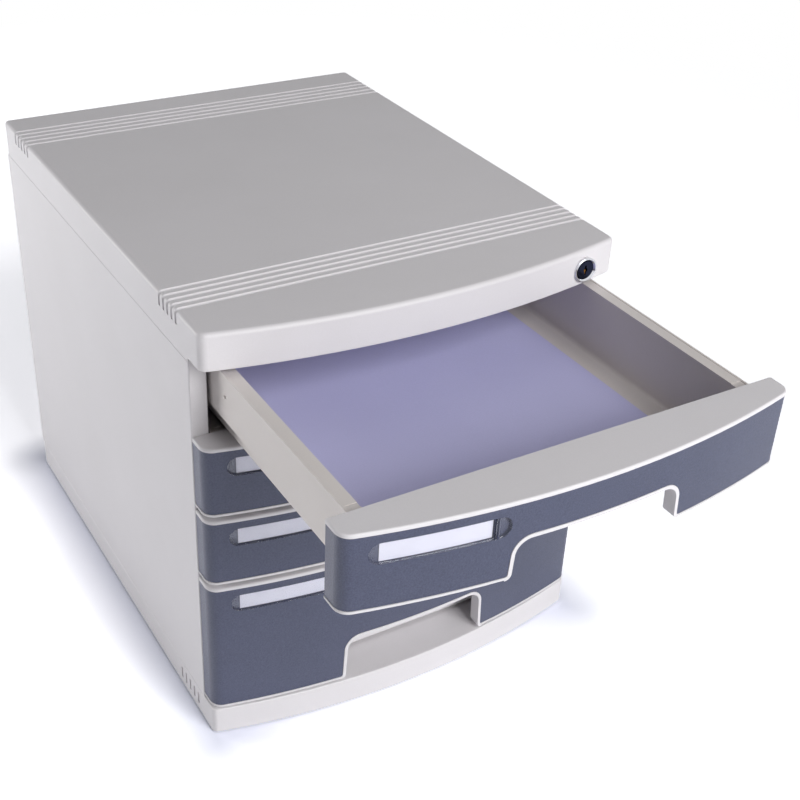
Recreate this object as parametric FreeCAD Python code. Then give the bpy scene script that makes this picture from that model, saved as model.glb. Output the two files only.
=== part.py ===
import FreeCAD
import Part
import math
import os

# A desktop file drawer cabinet: a moulded casing with four drawers and one central lock.
# Millimetres. X runs to the right seen from the front, the fronts face -Y, +Z is up.
# The origin lies on the desk, under the middle of the casing.
# At rest the top drawer stands pulled out, and the other three are closed.

# Casing: overall sizes.
casing_width = 300.0
casing_depth = 375.0  # rear to the front corners of the cover
casing_height = 319.5
wall = 3.0
overrun = 5.0  # how far every cutter runs past what it cuts
seam_gap = 0.3  # the joint line between a side panel and its neighbours
seam_depth = 1.0

# Top cover.
cover_bow = 18.0
cover_wall = 2.8
cover_front_height = 25.0
cover_side_height = 27.2
cover_corner_radius = 6.0
cover_rear_radius = 3.5
cover_edge_radius = 3.0
cover_lip_radius = 0.8
cover_rib_height = 10.0
cover_rib_width = 2.0
cover_tongue_width = 22.0
cover_tongue_depth = 8.0
cover_tongue_thickness = 2.0
cover_rib_place_shares = (-0.5, 0.0, 0.5)  # of the half width
cover_tongue_place_shares = (-0.6, 0.0, 0.75)  # of the half depth

# Grooves across the cover, which wrap down over both side edges.
groove_count = 5
groove_width = 2.8
groove_floor_width = 1.2
groove_depth = 1.3
groove_drop = 9.5
front_groove_start = 34.0  # cover's front corner to the first groove
front_groove_pitch = 6.35
rear_groove_start = 29.0  # rear of the casing to the first groove
rear_groove_pitch = 7.2

# Base.
base_height = 22.0
base_bow = 20.0
base_setback = 3.0  # base front corners behind those of the cover
base_corner_radius = 4.0
base_rear_radius = 3.5
base_edge_radius = 1.0
base_deck = 2.5
base_rib_width = 2.0
base_rib_lift = 3.0
base_rib_place_shares = (-0.6, -0.2, 0.2, 0.6)  # of the half depth
pad_radius = 9.0
pad_proud = 1.0
pad_seat_wall = 3.0
pad_seat_lift = 2.0
pad_recess = 1.5
pad_inset_x = 26.0
pad_inset_y = 40.0

# Vent grooves low on both sides of the base.
vent_count = 5
vent_pitch = 7.3
vent_width = 2.6
vent_height = 10.0
vent_depth = 1.4
vent_lift = 5.5
vent_start = 29.0  # cover's front corner to the first vent

# Side panels: a plate with a return pillar at the front, runner ledges and keeper ribs.
pillar_setback = 18.0  # pillar face behind the front corners of the cover
pillar_return = 11.5
pillar_thickness = 2.5
pillar_radius = 1.0
ledge_thickness = 2.5
ledge_start = 19.5  # pillar face to the front end of the ledges
ledge_stop = 19.5  # inside of the back panel to the rear end of the ledges
keeper_thickness = 2.0
keeper_gap = 0.8
keeper_reach = 3.0  # how far a keeper rib covers the flange of the tray
rear_flange_width = 10.0
rear_flange_thickness = 10.5
boss_size = 10.0
boss_height = 14.0

# Back panel.
back_thickness = 3.0
back_field_margin = 24.0
back_field_radius = 10.0
back_field_depth = 0.8

# Screws of one size hold the casing together and the fronts on the trays.
screw_radius = 1.5
screw_fit = 0.05
screw_head_radius = 3.2
screw_head_height = 1.6
screw_length = 12.0
screw_recess_radius = 1.8
screw_recess_depth = 0.9
base_screw_place_shares = (-0.7, 0.1, 0.8)  # of the half depth
back_screw_place_shares = (0.15, 0.5, 0.85)  # of the panel's height

# Drawer fronts.
shallow_count = 3
deep_pitches = 2  # the deep front takes the place of this many shallow ones
front_gap = 3.0
cover_gap = 0.8
base_gap = 2.7
front_corner_setback = 1.5  # virtual corner of the fronts behind that of the cover
front_bow = 18.9
front_corner_radius = 9.0
front_edge_radius = 1.2
front_running_gap = 0.5
front_wall = 2.5
top_rim = 2.4
bottom_rim = 2.3
shell_rib_width = 2.0
shell_rib_place_shares = (-0.93, -0.28, 0.55, 0.93)  # of the half width

# Dark panel set into each front.
panel_sink = 0.35
panel_thickness = 3.2
panel_fit = 0.15

# Finger notch under each front.
notch_half_width = 56.4
notch_draft = 1.4
notch_height = 25.0
deep_notch_height = 36.0
notch_radius = 10.0
notch_rim = 2.3  # as wide as the bottom rim, so that the two flow into one another
notch_jamb = 9.5
notch_foot_radius = 4.0  # where the rim turns from the bottom up into the notch
notch_relief = 24.0  # how far the bottom is open on both sides behind the notch frame

# Label window and card.
window_length = 77.6
window_height = 13.6
window_side_room = 52.8  # side of the casing to the window's centre
window_drop = 14.9  # top of the front to the window's centre
window_sink = 0.1
window_bevel = 0.5
pocket_depth = 2.3
window_clearance = 0.1
card_clearance = 0.15  # between the window and the card behind it
card_end_room = 8.3  # end of the window to the end of a centred card
card_height = 11.8
card_thickness = 0.4
card_shift = 1.9  # the card lies this far to the left of the window's centre

# Trays.
tray_drop = 3.5  # top of the front to the tray's flange
tray_wall = 2.0
tray_floor_lift = 0.2
tray_side_room = 14.0  # side of the casing to the flange of the tray
tray_flange = 9.0
tray_rear_room = 8.5  # rear end of the closed tray to the back panel
tray_rear_flange = 4.0
tray_skirt_wall = 1.8
tray_skirt_height = 31.7
tray_inner_radius = 4.0
tray_floor_radius = 2.5
tray_web_count = 6
bead_width = 1.5
bead_height = 0.35
flange_dip_length = 9.0
flange_dip_depth = 0.3
runner_gap = 0.3
ledge_side_gap = 1.5
pip_radius = 1.0
pip_height = 0.9
pip_place = 150.5  # front end of the tray to the pip
pip_drop = 14.4

# Travel of the drawers.
drawer_travel = 260.0
top_drawer_pull = 170.0
stop_lug_reach = 5.5
stop_lug_length = 4.0
stop_lug_height = 11.0
stop_lug_lift = 1.5

# Loose sheet in the top drawer.
sheet_side_room = 17.0  # inside of the tray to the sheet
sheet_rear_room = 24.5
sheet_thickness = 0.6
sheet_gap = 1.0

# Lock.
lock_inset = 30.0  # side of the casing to the lock's axis
lock_drop = 13.8  # top of the casing to the lock's axis
bezel_radius = 8.7
bezel_thickness = 1.4
bezel_edge_radius = 0.6
bezel_mouth_radius = 7.6
lock_boss_margin = 0.4
lock_boss_length = 8.0
barrel_radius = 7.3
barrel_length = 24.0
barrel_fit = 0.05
plug_radius = 6.3
plug_sink = 0.7
plug_fit = 0.05
keyway_width = 1.3
keyway_height = 6.6
keyway_depth = 4.0
keyway_pin_radius = 1.5
nut_radius = 9.8
nut_thickness = 3.0
nut_sides = 6
drive_size = 5.0
drive_fit = 0.05
cam_radius = 9.0
cam_thickness = 2.4
cam_gap = 0.3
cam_pin_radius = 1.5
cam_pin_path = 7.0
cam_pin_start = 45.0  # degrees above the horizontal when unlocked
cam_pin_fit = 0.35
cam_screw_head_radius = 3.4
cam_screw_length = 9.0

# Lock bar: an upright strip behind the right pillar with one finger for each drawer.
bar_thickness = 4.2
bar_width = 9.5
bar_wall_gap = 0.3
bar_pillar_gap = 0.5
bar_arm_thickness = 3.0
bar_arm_height = 9.0
bar_arm_end = 1.0  # how far the arm runs past the lock's axis
finger_length = 4.0
finger_height = 5.0
finger_drop = 5.2  # top of the front to the top of the raised finger
finger_gap = 0.5
finger_setback = 1.3
lock_lug_reach = 2.1
lock_lug_length = 4.0
lock_lug_height = 8.0
lock_lug_clearance = 1.5
bar_tail = 5.0
guide_thickness = 2.0
guide_reach = 4.0
guide_gap = 0.3

# Worked out from the sizes above.
half_width = casing_width / 2
rear_y = casing_depth / 2
cover_corner_y = -casing_depth / 2
cover_bottom = casing_height - cover_front_height
side_top = casing_height - cover_side_height
pillar_y = cover_corner_y + pillar_setback
pillar_back_y = pillar_y + pillar_thickness
pillar_inner_x = half_width - pillar_return
inner_x = half_width - wall
back_y = rear_y - back_thickness
front_rear_y = pillar_y - front_running_gap
front_corner_y = cover_corner_y + front_corner_setback
front_wall_y = front_rear_y - front_wall
tray_outer_x = half_width - tray_side_room
tray_inner_half_width = tray_outer_x - tray_flange
tray_box_x = tray_inner_half_width + tray_wall
tray_front_y = front_rear_y
tray_rear_y = back_y - tray_rear_room - tray_rear_flange
tray_length = tray_rear_y - tray_front_y
ledge_start_y = pillar_y + ledge_start
ledge_end_y = back_y - ledge_stop
ledge_inner_x = tray_box_x + ledge_side_gap
lock_x = half_width - lock_inset
lock_z = casing_height - lock_drop
window_place = half_width - window_side_room
card_length = window_length - 2 * card_end_room
bar_travel = 2 * cam_pin_path * math.sin(math.radians(cam_pin_start))
bar_outer_x = inner_x - bar_wall_gap
bar_inner_x = bar_outer_x - bar_thickness
bar_front_y = pillar_back_y + bar_pillar_gap
bar_rear_y = bar_front_y + bar_width
drawer_count = shallow_count + 1
front_room = cover_bottom - cover_gap - base_gap - base_height
front_pitch = (front_room + front_gap) / (shallow_count + deep_pitches)
front_height = front_pitch - front_gap
deep_front_height = deep_pitches * front_pitch - front_gap


def vec(x, y, z):
    return FreeCAD.Vector(x, y, z)


def block(x0, x1, y0, y1, z0, z1):
    """A box between two corners."""
    return Part.makeBox(x1 - x0, y1 - y0, z1 - z0, vec(x0, y0, z0))


def rod_y(radius, x, y0, y1, z):
    """A cylinder along Y."""
    return Part.makeCylinder(radius, y1 - y0, vec(x, y0, z), vec(0, 1, 0))


def rod_z(radius, x, y, z0, z1):
    """A cylinder along Z."""
    return Part.makeCylinder(radius, z1 - z0, vec(x, y, z0), vec(0, 0, 1))


def edges_where(solid, test):
    """The edges whose centre passes a test."""
    return [edge for edge in solid.Edges if test(edge.CenterOfMass, edge.BoundBox)]


def rounded(solid, radius, test):
    """The solid with the chosen edges rounded."""
    return solid.makeFillet(radius, edges_where(solid, test))


def joined(first, others):
    """One solid out of several that touch or overlap."""
    return first.multiFuse(list(others)).removeSplitter()


def mirrored(solid):
    """The same solid on the other side of the middle."""
    return solid.mirror(vec(0, 0, 0), vec(1, 0, 0))


def polygon_prism(points, direction):
    """A prism over straight-edged points."""
    corners = list(points) + [points[0]]
    return Part.Face(Part.makePolygon(corners)).extrude(direction)


def export(name, shape):
    """Write one sub-part, and print its size as a check."""
    shape.exportStep("parts/" + name + ".step")
    solids = len(shape.Solids)
    print(name, solids, "solid(s), valid", shape.isValid(), "volume", round(shape.Volume))


class Plan:
    """An outline seen from above: straight sides and rear, a bowed front, round front corners."""

    def __init__(self, rear, corner, bow, corner_radius):
        self.rear = rear
        self.corner_radius = corner_radius
        self.bow_radius = (half_width ** 2 + bow ** 2) / (2 * bow)
        self.centre = corner - bow + self.bow_radius

    def front_y(self, x, inset=0):
        """Where the front lies at x, moved in by the inset."""
        return self.centre - math.sqrt((self.bow_radius - inset) ** 2 - x ** 2)

    def prism(self, low, high, inset=0, rear=None):
        """The outline as a solid from low to high, moved in by the inset."""
        half = half_width - inset
        back = self.rear if rear is None else rear
        side_y = self.front_y(half, inset)
        left = vec(-half, side_y, low)
        right = vec(half, side_y, low)
        lines = [
            Part.LineSegment(vec(-half, back, low), left),
            Part.Arc(left, vec(0, self.front_y(0, inset), low), right),
            Part.LineSegment(right, vec(half, back, low)),
            Part.LineSegment(vec(half, back, low), vec(-half, back, low)),
        ]
        wire = Part.Wire([line.toShape() for line in lines])
        solid = Part.Face(wire).extrude(vec(0, 0, high - low))
        radius = self.corner_radius - inset
        if radius > panel_sink:
            middle = (low + high) / 2

            def at_corner(centre, bound):
                upright = bound.ZLength > bound.XLength + bound.YLength
                return upright and abs(centre.y - side_y) < wall and abs(centre.z - middle) < wall
            solid = rounded(solid, radius, at_corner)
        return solid

    def skin(self, low, high, outer, inner):
        """The layer between two insets, open at the rear."""
        rear = self.rear + overrun
        return self.prism(low, high, outer, rear).cut(self.prism(low, high, inner, rear + overrun))


cover_plan = Plan(rear_y, cover_corner_y, cover_bow, cover_corner_radius)
base_plan = Plan(rear_y, cover_corner_y + base_setback, base_bow, base_corner_radius)
front_plan = Plan(front_rear_y, front_corner_y, front_bow, front_corner_radius)

# The lock sits square to the casing, so its seat touches the bowed wall at the bezel's left edge.
lock_seat_y = cover_plan.front_y(lock_x - bezel_radius)
lock_boss_y = lock_seat_y + lock_boss_length
barrel_end_y = lock_seat_y + barrel_length
cam_front_y = barrel_end_y + cam_gap
cam_rear_y = cam_front_y + cam_thickness


class Drawer:
    """Heights of one drawer, counted from the top."""

    def __init__(self, index):
        self.name = str(index + 1)
        self.deep = index == shallow_count
        self.top = cover_bottom - cover_gap - index * front_pitch
        self.height = deep_front_height if self.deep else front_height
        self.bottom = self.top - self.height
        self.tray_top = self.top - tray_drop
        self.skirt_bottom = self.tray_top - tray_skirt_height
        self.floor_bottom = self.bottom + tray_floor_lift
        self.floor_top = self.floor_bottom + tray_wall
        self.notch_height = deep_notch_height if self.deep else notch_height
        self.pull = top_drawer_pull if index == 0 else 0
        self.window_z = self.top - window_drop
        self.finger_top = self.top - finger_drop

    def placed(self, shape):
        """The shape moved to where the drawer stands at rest."""
        return shape.translated(vec(0, -self.pull, 0))


drawers = [Drawer(index) for index in range(drawer_count)]


def groove_profile(y):
    """Section of one groove, with the cover's surface at height zero."""
    half = groove_width / 2
    floor = groove_floor_width / 2
    return [
        vec(0, y - half, overrun),
        vec(0, y - half, 0),
        vec(0, y - floor, -groove_depth),
        vec(0, y + floor, -groove_depth),
        vec(0, y + half, 0),
        vec(0, y + half, overrun),
    ]


def groove_cutter(y):
    """One groove over the top, round both edges and down both sides."""
    profile = groove_profile(y)
    bend = half_width - cover_edge_radius
    pivot_z = casing_height - cover_edge_radius
    flat = [point + vec(-bend, 0, casing_height) for point in profile]
    top = polygon_prism(flat, vec(2 * bend, 0, 0))
    start = [point + vec(bend, 0, casing_height) for point in profile]
    face = Part.Face(Part.makePolygon(start + [start[0]]))
    turn = face.revolve(vec(bend, y, pivot_z), vec(0, 1, 0), 90)
    side = [vec(half_width + point.z, point.y, pivot_z) for point in profile]
    drop = groove_drop - cover_edge_radius
    down = polygon_prism(side, vec(0, 0, -drop))
    return [top, turn, down, mirrored(turn), mirrored(down)]


def top_cover():
    """Hollow moulded cover with a bowed nose, grooves and the boss of the lock."""
    inside = cover_plan.prism(side_top - overrun, casing_height - cover_wall, cover_wall,
                              rear_y - cover_wall)
    body = cover_plan.prism(side_top, casing_height)
    body = rounded(body, cover_rear_radius,
                   lambda c, b: b.ZLength > cover_front_height and c.y > rear_y - wall)
    body = rounded(body, cover_edge_radius, lambda c, b: c.z > casing_height - cover_lip_radius)
    body = body.cut(block(-casing_width, casing_width, cover_plan.front_y(0) - overrun, pillar_y,
                          side_top - overrun, cover_bottom))
    body = rounded(body, cover_lip_radius,
                   lambda c, b: abs(c.z - cover_bottom) < panel_sink and c.y < pillar_y - wall)
    body = body.cut(inside)
    grooves = []
    for index in range(groove_count):
        grooves += groove_cutter(cover_corner_y + front_groove_start + index * front_groove_pitch)
        grooves += groove_cutter(rear_y - rear_groove_start - index * rear_groove_pitch)
    body = body.cut(grooves)
    extras = []
    rib_low = casing_height - cover_wall - cover_rib_height
    for share in cover_rib_place_shares:
        x = share * half_width
        extras.append(block(x - cover_rib_width / 2, x + cover_rib_width / 2, ledge_start_y,
                            rear_y - cover_wall, rib_low, casing_height - cover_wall))
    for share in cover_tongue_place_shares:
        y = share * rear_y
        tongue = block(inner_x - cover_tongue_thickness, inner_x, y - cover_tongue_width / 2,
                       y + cover_tongue_width / 2, side_top - cover_tongue_depth, side_top + cover_wall)
        root = block(inner_x - cover_tongue_thickness, half_width - cover_wall / 2,
                     y - cover_tongue_width / 2, y + cover_tongue_width / 2,
                     side_top, side_top + cover_wall)
        extras += [tongue, root, mirrored(tongue), mirrored(root)]
    keeper = block(tray_outer_x - keeper_reach, half_width - cover_wall / 2, ledge_start_y, ledge_end_y,
                   side_top, side_top + keeper_thickness)
    extras += [keeper, mirrored(keeper)]
    extras.append(rod_y(bezel_radius - lock_boss_margin, lock_x, lock_seat_y, lock_boss_y, lock_z))
    body = joined(body, extras)
    return body.cut(rod_y(barrel_radius + barrel_fit, lock_x, lock_seat_y - overrun,
                          lock_boss_y + overrun, lock_z))


def side_panel():
    """The right-hand side: plate, pillar, rear flange, ledges, keeper ribs and bosses."""
    plate = block(inner_x, half_width, pillar_y, rear_y, base_height, side_top)
    pillar = block(pillar_inner_x, half_width, pillar_y, pillar_back_y, base_height, side_top)
    body = joined(plate, [pillar])
    body = rounded(body, pillar_radius,
                   lambda c, b: b.ZLength > casing_height / 2 and abs(c.y - pillar_y) < panel_sink)
    flange_x = inner_x - rear_flange_width
    extras = [block(flange_x, inner_x, back_y - rear_flange_thickness, back_y, base_height, side_top)]
    keeper_inner_x = tray_outer_x - keeper_reach
    for drawer in drawers:
        ledge_top = drawer.skirt_bottom - runner_gap
        extras.append(block(ledge_inner_x, inner_x, ledge_start_y, ledge_end_y,
                            ledge_top - ledge_thickness, ledge_top))
        if drawer is not drawers[0]:
            keeper_low = drawer.tray_top + bead_height + keeper_gap
            extras.append(block(keeper_inner_x, inner_x, ledge_start_y, ledge_end_y,
                                keeper_low, keeper_low + keeper_thickness))
    guide_y = bar_rear_y + guide_gap
    guide_low = drawers[-1].finger_top - finger_height - bar_tail - bar_travel
    extras.append(block(inner_x - guide_reach, inner_x, guide_y, guide_y + guide_thickness,
                        guide_low, side_top))
    for share in base_screw_place_shares:
        y = share * rear_y
        extras.append(block(inner_x - boss_size, inner_x, y - boss_size / 2, y + boss_size / 2,
                            base_height, base_height + boss_height))
    body = joined(body, extras)
    holes = [screw_hole_z(x, y) for x, y in base_screw_places() if x > 0]
    holes += [screw_hole_y(x, z) for x, z in back_screw_places() if x > 0]
    seams = [block(half_width - seam_depth, half_width + overrun, pillar_y - overrun, rear_y + overrun,
                   low, low + seam_gap) for low in (base_height, side_top - seam_gap)]
    return body.cut(holes + seams)


def base_screw_places():
    """Where the base is screwed to the side panels."""
    x = inner_x - boss_size / 2
    return [(side * x, share * rear_y) for side in (-1, 1) for share in base_screw_place_shares]


def back_screw_places():
    """Where the back panel is screwed to the flanges of the side panels."""
    x = inner_x - rear_flange_width / 2
    height = side_top - base_height
    return [(side * x, base_height + share * height)
            for side in (-1, 1) for share in back_screw_place_shares]


def screw_hole_z(x, y):
    """Clearance for an upright screw through the deck."""
    top = base_height - base_deck + screw_length + overrun
    return rod_z(screw_radius + screw_fit, x, y, base_height - base_deck - overrun,
                 min(top, base_height + boss_height - screw_radius))


def screw_hole_y(x, z):
    """Clearance for a screw through the back panel."""
    return rod_y(screw_radius + screw_fit, x, rear_y - screw_length - overrun, rear_y + overrun, z)


def screw(place, direction):
    """One pan-head screw; the place is the underside of its head, the direction its tip's."""
    shank = Part.makeCylinder(screw_radius, screw_length, place, direction)
    head = Part.makeCylinder(screw_head_radius, screw_head_height, place - direction * screw_head_height,
                             direction)
    recess = Part.makeCylinder(screw_recess_radius, screw_recess_depth,
                               place - direction * screw_head_height, direction)
    return head.cut(recess).fuse(shank)


def back_panel():
    """Flat rear wall with a shallow field."""
    panel = block(-inner_x, inner_x, back_y, rear_y, base_height, side_top)
    margin = back_field_margin
    field = block(-inner_x + margin, inner_x - margin, rear_y - back_field_depth, rear_y + overrun,
                  base_height + margin, side_top - margin)
    field = rounded(field, back_field_radius, lambda c, b: b.YLength > b.XLength + b.ZLength)
    return panel.cut([field] + [screw_hole_y(x, z) for x, z in back_screw_places()])


def pad_places():
    """Centres of the four pads."""
    x = half_width - pad_inset_x
    y = rear_y - pad_inset_y
    return [(sx * x, sy * y) for sx in (-1, 1) for sy in (-1, 1)]


def vent_cutter(y):
    """One shallow upright vent groove with round ends, on the right side."""
    low = pad_proud + vent_lift
    radius = vent_width / 2
    inner = half_width - vent_depth
    outer = half_width + overrun
    slot = block(inner, outer, y - radius, y + radius, low + radius, low + vent_height - radius)
    ends = [Part.makeCylinder(radius, outer - inner, vec(inner, y, z), vec(1, 0, 0))
            for z in (low + radius, low + vent_height - radius)]
    return joined(slot, ends)


def base():
    """Tray-like base: a deck with a rim, ribs below and seats for the pads."""
    low = pad_proud
    body = base_plan.prism(low, base_height)
    body = rounded(body, base_rear_radius,
                   lambda c, b: b.ZLength > b.XLength + b.YLength and c.y > rear_y - wall)
    body = rounded(body, base_edge_radius,
                   lambda c, b: abs(c.z - base_height) < panel_sink and c.y < pillar_y - wall)
    inside = base_plan.prism(low - overrun, base_height - base_deck, wall, rear_y - wall)
    body = body.cut(inside)
    extras = []
    for share in base_rib_place_shares:
        y = share * rear_y
        extras.append(block(-inner_x, inner_x, y - base_rib_width / 2, y + base_rib_width / 2,
                            low + base_rib_lift, base_height - base_deck))
    seat_low = low + pad_seat_lift
    seats = [rod_z(pad_radius + pad_seat_wall, x, y, seat_low, base_height - base_deck)
             for x, y in pad_places()]
    body = joined(body, extras + seats)
    cuts = [rod_z(pad_radius + screw_fit, x, y, seat_low - overrun, seat_low + pad_recess)
            for x, y in pad_places()]
    cuts += [screw_hole_z(x, y) for x, y in base_screw_places()]
    for index in range(vent_count):
        vent = vent_cutter(cover_corner_y + vent_start + index * vent_pitch)
        cuts += [vent, mirrored(vent)]
    return body.cut(cuts)


def foot_pads():
    """Four rubber pads in their seats."""
    top = pad_proud + pad_seat_lift + pad_recess
    return Part.makeCompound([rod_z(pad_radius, x, y, 0, top) for x, y in pad_places()])


def lock_barrel():
    """Housing of the lock with its polished bezel."""
    bezel_y = lock_seat_y - bezel_thickness
    bezel = rod_y(bezel_radius, lock_x, bezel_y, lock_seat_y, lock_z)
    bezel = rounded(bezel, bezel_edge_radius, lambda c, b: abs(c.y - bezel_y) < panel_sink)
    body = bezel.fuse(rod_y(barrel_radius, lock_x, lock_seat_y, barrel_end_y, lock_z))
    bore = rod_y(plug_radius + plug_fit, lock_x, bezel_y - overrun, barrel_end_y + overrun, lock_z)
    mouth = Part.makeCone(bezel_mouth_radius, plug_radius, bezel_thickness,
                          vec(lock_x, bezel_y, lock_z), vec(0, 1, 0))
    return body.cut([bore, mouth])


def lock_plug():
    """Turning cylinder with the keyway in front and a square drive behind."""
    face_y = lock_seat_y - bezel_thickness + plug_sink
    body = rod_y(plug_radius, lock_x, face_y, barrel_end_y, lock_z)
    half = drive_size / 2
    drive_end = cam_rear_y - cam_gap
    drive = block(lock_x - half, lock_x + half, barrel_end_y, drive_end, lock_z - half, lock_z + half)
    body = body.fuse(drive)
    keyway = block(lock_x - keyway_width / 2, lock_x + keyway_width / 2, face_y - overrun,
                   face_y + keyway_depth, lock_z - keyway_height / 2, lock_z + keyway_height / 2)
    eye = rod_y(keyway_pin_radius, lock_x, face_y - overrun, face_y + keyway_depth, lock_z)
    hole = rod_y(screw_radius + screw_fit, lock_x, cam_rear_y - cam_screw_length - cam_gap,
                 cam_rear_y + overrun, lock_z)
    return body.cut([keyway, eye, hole])


def lock_nut():
    """Six-sided nut that clamps the barrel behind the cover's boss."""
    corners = [vec(lock_x + nut_radius * math.cos(turn), lock_boss_y, lock_z + nut_radius * math.sin(turn))
               for turn in [2 * math.pi * index / nut_sides for index in range(nut_sides)]]
    nut = polygon_prism(corners, vec(0, nut_thickness, 0))
    return nut.cut(rod_y(barrel_radius + barrel_fit, lock_x, lock_boss_y - overrun,
                         lock_boss_y + nut_thickness + overrun, lock_z))


def cam_pin_centre():
    """Centre of the cam's pin while the lock is open."""
    angle = math.radians(cam_pin_start)
    return lock_x + cam_pin_path * math.cos(angle), lock_z + cam_pin_path * math.sin(angle)


def lock_cam():
    """Disc on the plug's square drive with an eccentric pin."""
    disc = rod_y(cam_radius, lock_x, cam_front_y, cam_rear_y, lock_z)
    half = drive_size / 2 + drive_fit
    disc = disc.cut(block(lock_x - half, lock_x + half, cam_front_y - overrun, cam_rear_y + overrun,
                          lock_z - half, lock_z + half))
    pin_x, pin_z = cam_pin_centre()
    return disc.fuse(rod_y(cam_pin_radius, pin_x, cam_rear_y,
                           bar_front_y + bar_arm_thickness, pin_z))


def cam_screw():
    """Screw that holds the cam on the plug."""
    head = rod_y(cam_screw_head_radius, lock_x, cam_rear_y, cam_rear_y + screw_head_height, lock_z)
    slot = rod_y(screw_recess_radius, lock_x, cam_rear_y + screw_head_height - screw_recess_depth,
                 cam_rear_y + overrun, lock_z)
    shank = rod_y(screw_radius, lock_x, cam_rear_y - cam_screw_length, cam_rear_y, lock_z)
    return head.cut(slot).fuse(shank)


def lock_bar():
    """Strip behind the right pillar, driven by the cam through a slot in its arm."""
    pin_x, pin_z = cam_pin_centre()
    arm_low = pin_z - bar_arm_height / 2
    arm_high = pin_z + bar_arm_height / 2
    low = drawers[-1].finger_top - finger_height - bar_tail
    strip = block(bar_inner_x, bar_outer_x, bar_front_y, bar_rear_y, low, arm_high)
    arm = block(lock_x - bar_arm_end, bar_outer_x, bar_front_y, bar_front_y + bar_arm_thickness,
                arm_low, arm_high)
    fingers = []
    finger_y = bar_front_y + finger_setback
    for drawer in drawers:
        fingers.append(block(tray_outer_x + finger_gap, bar_outer_x, finger_y, finger_y + finger_length,
                             drawer.finger_top - finger_height, drawer.finger_top))
    body = joined(strip, [arm] + fingers)
    reach = cam_pin_radius + cam_pin_fit
    slot = block(pin_x - reach, lock_x + cam_pin_path + reach, bar_front_y - overrun,
                 bar_front_y + bar_arm_thickness + overrun, pin_z - reach, pin_z + reach)
    return body.cut(slot)


def tray(drawer):
    """Open tray: floor, four walls, side flanges with skirts, webs, stop lugs and a lock lug."""
    top = drawer.tray_top
    front = tray_front_y
    rear = tray_rear_y
    outer = block(-tray_box_x, tray_box_x, front, rear, drawer.floor_bottom, top)
    flange_low = top - tray_wall
    plate = block(-tray_outer_x, tray_outer_x, front, rear + tray_rear_flange, flange_low, top)
    extras = [plate]
    for side in (-1, 1):
        inner_skirt = side * (tray_outer_x - tray_skirt_wall)
        outer_skirt = side * tray_outer_x
        low_x, high_x = sorted((inner_skirt, outer_skirt))
        extras.append(block(low_x, high_x, front, rear, drawer.skirt_bottom, top))
        bead_x = sorted((outer_skirt, side * (tray_outer_x - bead_width)))
        extras.append(block(bead_x[0], bead_x[1], front, rear, top, top + bead_height))
        web_x = sorted((side * tray_box_x, inner_skirt))
        for index in range(tray_web_count):
            share = (index + 1) / (tray_web_count + 1)
            y = front + share * tray_length
            extras.append(block(web_x[0], web_x[1], y - tray_skirt_wall / 2, y + tray_skirt_wall / 2,
                                drawer.skirt_bottom + tray_wall, top))
        lug_x = sorted((outer_skirt, side * (tray_outer_x + stop_lug_reach)))
        lug_y = pillar_back_y + drawer_travel
        lug_z = drawer.skirt_bottom + stop_lug_lift
        extras.append(block(lug_x[0], lug_x[1], lug_y, lug_y + stop_lug_length,
                            lug_z, lug_z + stop_lug_height))
    lock_lug_y = bar_front_y + finger_setback + finger_length + finger_gap
    lock_lug_top = drawer.finger_top - finger_height - lock_lug_clearance
    extras.append(block(tray_outer_x, tray_outer_x + lock_lug_reach, lock_lug_y,
                        lock_lug_y + lock_lug_length, lock_lug_top - lock_lug_height, lock_lug_top))
    extras.append(Part.makeCylinder(pip_radius, pip_height,
                                    vec(-tray_outer_x, front + pip_place, top - pip_drop),
                                    vec(-1, 0, 0)))
    body = joined(outer, extras)
    inside = block(-tray_inner_half_width, tray_inner_half_width, front + tray_wall, rear - tray_wall,
                   drawer.floor_top, top + overrun)
    inside = rounded(inside, tray_inner_radius, lambda c, b: b.ZLength > b.XLength + b.YLength)
    inside = rounded(inside, tray_floor_radius,
                     lambda c, b: abs(c.z - drawer.floor_top) < panel_sink)
    cuts = [inside]
    for side in (-1, 1):
        dip_x = sorted((side * (tray_inner_half_width - overrun), side * (tray_outer_x - bead_width)))
        cuts.append(block(dip_x[0], dip_x[1], front - overrun, front + flange_dip_length,
                          top - flange_dip_depth, top + overrun))
    cuts += [rod_y(screw_radius + screw_fit, x, front - overrun, front + tray_wall + overrun, z)
             for x, z in front_screw_places(drawer)]
    return body.cut(cuts)


def front_screw_places(drawer):
    """Where a front is screwed to its tray."""
    x = notch_half_width + notch_rim
    return [(-x, drawer.window_z), (x, drawer.window_z)]


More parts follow.
